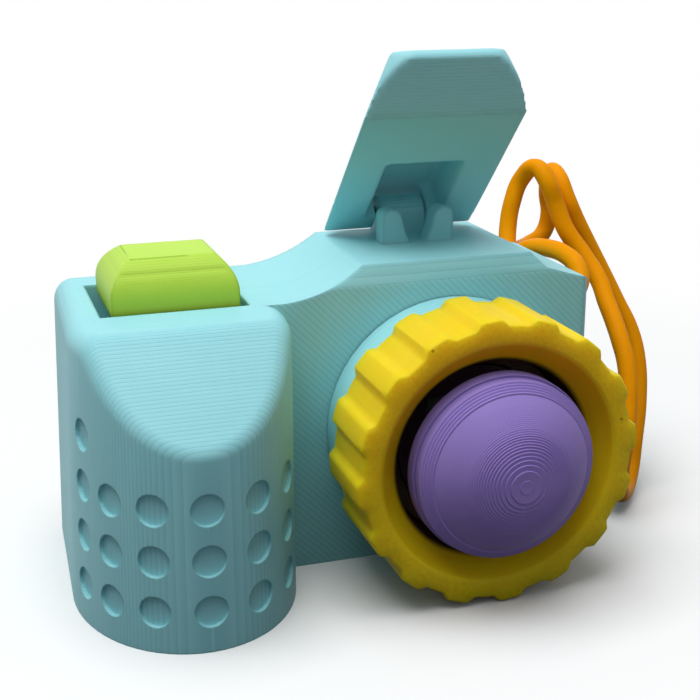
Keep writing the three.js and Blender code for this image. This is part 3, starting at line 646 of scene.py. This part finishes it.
def domeFinish():
    look = domeLook
    material, tree, shader, parts = printedPlastic(look)
    # below the ledge the rim is ribbed by its layers and lies in the shade of the ring
    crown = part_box("lens_button")[0][1]
    ledge = crown + (domeSettings["domeRise"] + domeSettings["bevelHeight"]) * mm
    rim = addNode(
        tree, "ShaderNodeMapRange", {"From Min": ledge, "From Max": ledge + look["rimFade"] * mm},
        {"Value": parts["spot"].outputs["Y"]})
    ribs = addNode(
        tree, "ShaderNodeTexWave", {"bands_direction": "Y", "Scale": bandScale(look["rib"] * mm)},
        {"Vector": parts["place"].outputs["Object"]})
    ribsHere = addNode(
        tree, "ShaderNodeMath", {"operation": "MULTIPLY"}, {0: ribs.outputs["Fac"], 1: rim.outputs[0]})
    relief = addNode(
        tree, "ShaderNodeBump", {"Strength": 1.0, "Distance": look["ribDepth"] * mm},
        {"Height": ribsHere.outputs[0], "Normal": parts["relief"].outputs[0]})
    shade = addNode(
        tree, "ShaderNodeMath", {"operation": "MULTIPLY", 1: look["rimShade"]}, {0: rim.outputs[0]})
    tone = addNode(
        tree, "ShaderNodeMix", {"data_type": "RGBA", 7: linear(look["deep"])},
        {0: shade.outputs[0], 6: parts["tone"].outputs[2]})
    tree.links.new(tone.outputs[2], shader.inputs["Base Color"])
    tree.links.new(relief.outputs[0], shader.inputs["Normal"])
    return material


# Lime PLA, printed upright: layers lie level and only show near the top
limeLook = {
    "name": "plaLimePrintedUpright", "colour": "#bbe24c", "pale": "#c4e858", "deep": "#4f8a1c",
    "stackTurn": (0, 0, 0), "layer": 0.3, "wobble": 0.6,
    "ridge": 0.03, "grooveShade": 0.05, "wallShare": 0.15,
    "creaseDrop": 0.09, "creaseHalf": 0.06, "dash": 2.5, "creaseShade": 0.45,  # mm, mm, mm, share
    "dashFrom": 0.42, "dashTo": 0.55,
    "edge": 1.0, "topEdge": 1.0, "skin": 0.005, "rough": 0.46, "sheen": 0.2,
}


def limeFinish():
    look = limeLook
    material, tree, shader, parts = printedPlastic(look)
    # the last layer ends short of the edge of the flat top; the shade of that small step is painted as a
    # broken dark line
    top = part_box("shutter_button")[1][2]
    line = addNode(
        tree, "ShaderNodeMath",
        {"operation": "COMPARE", 1: top - look["creaseDrop"] * mm, 2: look["creaseHalf"] * mm},
        {0: parts["spot"].outputs["Z"]})
    breaks = addNode(
        tree, "ShaderNodeTexNoise", {"Scale": 1 / (look["dash"] * mm), "Detail": 1.0},
        {"Vector": parts["place"].outputs["Object"]})
    dashes = addNode(
        tree, "ShaderNodeMapRange",
        {"From Min": look["dashFrom"], "From Max": look["dashTo"],
         "To Min": 0.0, "To Max": look["creaseShade"]},
        {"Value": breaks.outputs["Fac"]})
    crease = addNode(
        tree, "ShaderNodeMath", {"operation": "MULTIPLY"}, {0: line.outputs[0], 1: dashes.outputs[0]})
    tone = addNode(
        tree, "ShaderNodeMix", {"data_type": "RGBA", 7: linear(look["deep"])},
        {0: crease.outputs[0], 6: parts["tone"].outputs[2]})
    tree.links.new(tone.outputs[2], shader.inputs["Base Color"])
    return material


# Silicone cord, drawn smooth: soft sheen, hardly any grain
strapLook = {
    "name": "siliconeOrangeCord", "colour": "#f29500", "pale": "#f8a004",
    "grain": 1.5, "grainDepth": 0.01,  # mm
    "rough": 0.42, "smoother": 0.05, "rougher": 0.08, "sheen": 0.05, "ior": 1.41,
}


def strapFinish():
    look = strapLook
    material, tree, shader = startMaterial(look["name"])
    place = addNode(tree, "ShaderNodeTexCoord")
    grain = addNode(
        tree, "ShaderNodeTexNoise", {"Scale": 1 / (look["grain"] * mm), "Detail": 3.0},
        {"Vector": place.outputs["Object"]})
    tone = addNode(
        tree, "ShaderNodeMix", {"data_type": "RGBA", 6: linear(look["colour"]), 7: linear(look["pale"])},
        {0: grain.outputs["Fac"]})
    rough = addNode(
        tree, "ShaderNodeMapRange",
        {"To Min": look["rough"] - look["smoother"], "To Max": look["rough"] + look["rougher"]},
        {"Value": grain.outputs["Fac"]})
    relief = addNode(
        tree, "ShaderNodeBump", {"Strength": 1.0, "Distance": look["grainDepth"] * mm},
        {"Height": grain.outputs["Fac"]})
    tree.links.new(tone.outputs[2], shader.inputs["Base Color"])
    tree.links.new(rough.outputs[0], shader.inputs["Roughness"])
    tree.links.new(relief.outputs[0], shader.inputs["Normal"])
    shader.inputs["IOR"].default_value = look["ior"]
    shader.inputs["Specular IOR Level"].default_value = look["sheen"]
    return material


# Mouldings and metals of the switches and the hinge pin, mostly hidden under the buttons
smallParts = {
    "switchBlack": {
        "name": "nylonBlackMoulded", "colour": "#2b2c2e", "pale": "#38393c",
        "rough": 0.5, "ior": 1.53, "grain": 0.4,  # fine dull grain
    },
    "switchClear": {
        "name": "polycarbonateFrosted", "colour": "#d9d6cc", "pale": "#e4e2da",
        "rough": 0.3, "ior": 1.58, "grain": 0.8,  # milky, softly shining
    },
    "switchBlue": {
        "name": "acetalBlueMoulded", "colour": "#3f7fd0", "pale": "#4a89d8",
        "rough": 0.35, "ior": 1.48, "grain": 0.6,  # waxy shine
    },
    "brass": {
        "name": "brassStamped", "colour": "#c9a356", "pale": "#d6b46c",
        "rough": 0.28, "metal": 1, "grain": 0.3,  # warm, lightly scratched
    },
    "steel": {
        "name": "steelDrawn", "colour": "#c4c7ca", "pale": "#d3d6d9",
        "rough": 0.25, "metal": 1, "grain": 0.3,  # cool and bright
    },
}
smallGrain = {"depth": 0.01, "strength": 0.6, "smoother": 0.08, "rougher": 0.1}  # mm, then shares


def smallFinish(look):
    material, tree, shader = startMaterial(look["name"])
    place = addNode(tree, "ShaderNodeTexCoord")
    grain = addNode(
        tree, "ShaderNodeTexNoise", {"Scale": 1 / (look["grain"] * mm), "Detail": 4.0},
        {"Vector": place.outputs["Object"]})
    tone = addNode(
        tree, "ShaderNodeMix", {"data_type": "RGBA", 6: linear(look["colour"]), 7: linear(look["pale"])},
        {0: grain.outputs["Fac"]})
    rough = addNode(
        tree, "ShaderNodeMapRange",
        {"To Min": look["rough"] - smallGrain["smoother"], "To Max": look["rough"] + smallGrain["rougher"]},
        {"Value": grain.outputs["Fac"]})
    relief = addNode(
        tree, "ShaderNodeBump", {"Strength": smallGrain["strength"], "Distance": smallGrain["depth"] * mm},
        {"Height": grain.outputs["Fac"]})
    tree.links.new(tone.outputs[2], shader.inputs["Base Color"])
    tree.links.new(rough.outputs[0], shader.inputs["Roughness"])
    tree.links.new(relief.outputs[0], shader.inputs["Normal"])
    if "metal" in look:
        shader.inputs["Metallic"].default_value = look["metal"]
    else:
        shader.inputs["IOR"].default_value = look["ior"]
    return material


finishes = {key: smallFinish(look) for key, look in smallParts.items()}
finishes["body"] = bodyFinish()
finishes["barrel"] = barrelFinish()
finishes["lid"] = printedPlastic(lidLook)[0]
finishes["ring"] = ringFinish()
finishes["dome"] = domeFinish()
finishes["lime"] = limeFinish()
finishes["strap"] = strapFinish()

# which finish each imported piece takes, and the angle above which its edges stay crisp
dressing = {
    "body_shell": ("body", 28), "lens_barrel": ("barrel", 28), "flash_lid": ("lid", 28),
    "ring_collar": ("ring", 28), "shutter_button": ("lime", 24), "hinge_pin": ("steel", 30),
}
for place in ("lens", "shutter"):
    dressing[f"{place}_switch_base"] = ("switchBlack", 30)
    dressing[f"{place}_switch_cover"] = ("switchClear", 30)
    dressing[f"{place}_switch_stem"] = ("switchBlue", 30)
    dressing[f"{place}_switch_contact_1"] = ("brass", 30)
    dressing[f"{place}_switch_contact_2"] = ("brass", 30)


def dress(piece, finish):
    piece.data.materials.clear()
    piece.data.materials.append(finishes[finish])


for name, (finish, crisp) in dressing.items():
    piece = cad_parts[name]
    dress(piece, finish)
    if name == "flash_lid":
        roundLid(piece)
    smoothFaces(piece, crisp)
madePieces = [(dome, "dome", domeSettings["crisp"]), (gripRing, "ring", ringSettings["crisp"])]
madePieces += [(spring, "steel", springSettings["crisp"]) for spring in springs.values()]
for piece, finish, crisp in madePieces:
    dress(piece, finish)
    smoothFaces(piece, crisp)
dress(strap, "strap")
print("finishes on", len(dressing) + len(madePieces) + 1, "pieces")


# Plain pale floor, one wide soft lamp overhead and a sky that is brighter above
lightSettings = {
    "skyLow": 0.2, "skyHigh": 0.5, "skyColour": "#eef4f6",
    "lampPower": 5.0, "lampSize": 0.6, "lampPlace": (-0.14, -0.05, 0.75),  # W, m, m
    "floorSize": 8.0, "floorRough": 0.9, "floorSeen": "#fafafa",  # m
    "floorBounce": "#303438", "farBounce": 0.3,  # what the floor throws back, near and far
    "shadowReach": (0.09, 0.2),  # m, from the middle: shadows show inside, plain white outside
}


def seenDirectly(tree):  # 1 for camera, mirrored and see-through rays, 0 for light that only bounces
    path = addNode(tree, "ShaderNodeLightPath")
    seen = addNode(
        tree, "ShaderNodeMath", {"operation": "MAXIMUM"},
        {0: path.outputs["Is Camera Ray"], 1: path.outputs["Is Glossy Ray"]})
    return addNode(
        tree, "ShaderNodeMath", {"operation": "MAXIMUM"},
        {0: seen.outputs[0], 1: path.outputs["Is Transmission Ray"]})


def studio():
    s = lightSettings
    data = bpy.data.meshes.new("studioFloor")
    half = s["floorSize"] / 2
    corners = [(-half, -half, 0), (half, -half, 0), (half, half, 0), (-half, half, 0)]
    data.from_pydata(corners, [], [(0, 1, 2, 3)])
    floor = bpy.data.objects.new("studioFloor", data)
    scene.collection.objects.link(floor)
    floor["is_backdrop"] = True
    material, tree, shader = startMaterial("paperSweepMatte")
    seen = seenDirectly(tree)
    tone = addNode(
        tree, "ShaderNodeMix",
        {"data_type": "RGBA", 6: linear(s["floorBounce"]), 7: linear(s["floorSeen"])},
        {0: seen.outputs[0]})
    tree.links.new(tone.outputs[2], shader.inputs["Base Color"])
    shader.inputs["Roughness"].default_value = s["floorRough"]
    shader.inputs["Specular IOR Level"].default_value = 0.0
    # outside the shadow's reach the floor is plain white, and throws a little light back
    spot = addNode(tree, "ShaderNodeTexCoord")
    away = addNode(tree, "ShaderNodeVectorMath", {"operation": "LENGTH"}, {0: spot.outputs["Object"]})
    near, far = s["shadowReach"]
    beyond = addNode(
        tree, "ShaderNodeMapRange", {"interpolation_type": "SMOOTHSTEP", "From Min": near, "From Max": far},
        {"Value": away.outputs["Value"]})
    bright = addNode(
        tree, "ShaderNodeMapRange", {"To Min": s["farBounce"], "To Max": 1.0}, {"Value": seen.outputs[0]})
    white = addNode(tree, "ShaderNodeEmission", links={"Strength": bright.outputs[0]})
    both = addNode(
        tree, "ShaderNodeMixShader", links={0: beyond.outputs[0], 1: shader.outputs[0], 2: white.outputs[0]})
    output = next(n for n in tree.nodes if n.bl_idname == "ShaderNodeOutputMaterial")
    tree.links.new(both.outputs[0], output.inputs["Surface"])
    floor.data.materials.append(material)

    world = bpy.data.worlds.new("studioSky")
    scene.world = world
    world.use_nodes = True
    tree = world.node_tree
    tree.nodes.clear()
    seen = seenDirectly(tree)
    spot = addNode(tree, "ShaderNodeTexCoord")
    heading = addNode(tree, "ShaderNodeSeparateXYZ", links={0: spot.outputs["Generated"]})
    climb = addNode(
        tree, "ShaderNodeMapRange", {"To Min": s["skyLow"], "To Max": s["skyHigh"]},
        {"Value": heading.outputs["Z"]})
    sky = addNode(
        tree, "ShaderNodeBackground", {"Color": linear(s["skyColour"])}, {"Strength": climb.outputs[0]})
    white = addNode(tree, "ShaderNodeBackground", {"Color": (1, 1, 1, 1), "Strength": 1.0})
    both = addNode(
        tree, "ShaderNodeMixShader", links={0: seen.outputs[0], 1: sky.outputs[0], 2: white.outputs[0]})
    addNode(tree, "ShaderNodeOutputWorld", links={"Surface": both.outputs[0]})

    lampData = bpy.data.lights.new("softLamp", "AREA")
    lampData.energy = s["lampPower"]
    lampData.size = s["lampSize"]
    lamp = bpy.data.objects.new("softLamp", lampData)
    scene.collection.objects.link(lamp)
    lamp.location = s["lampPlace"]
    target = (Vector(cadBox[0]) + Vector(cadBox[1])) / 2
    lamp.rotation_euler = (target - lamp.location).to_track_quat("-Z", "Y").to_euler()


studio()
scene.view_settings.view_transform = "Standard"
print("studio lit")

bpy.context.view_layer.update()
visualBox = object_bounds()
for label, corners in (("cad", cadBox), ("visual", visualBox)):
    print(label, "box", [round(c, 4) for corner in corners for c in corner])
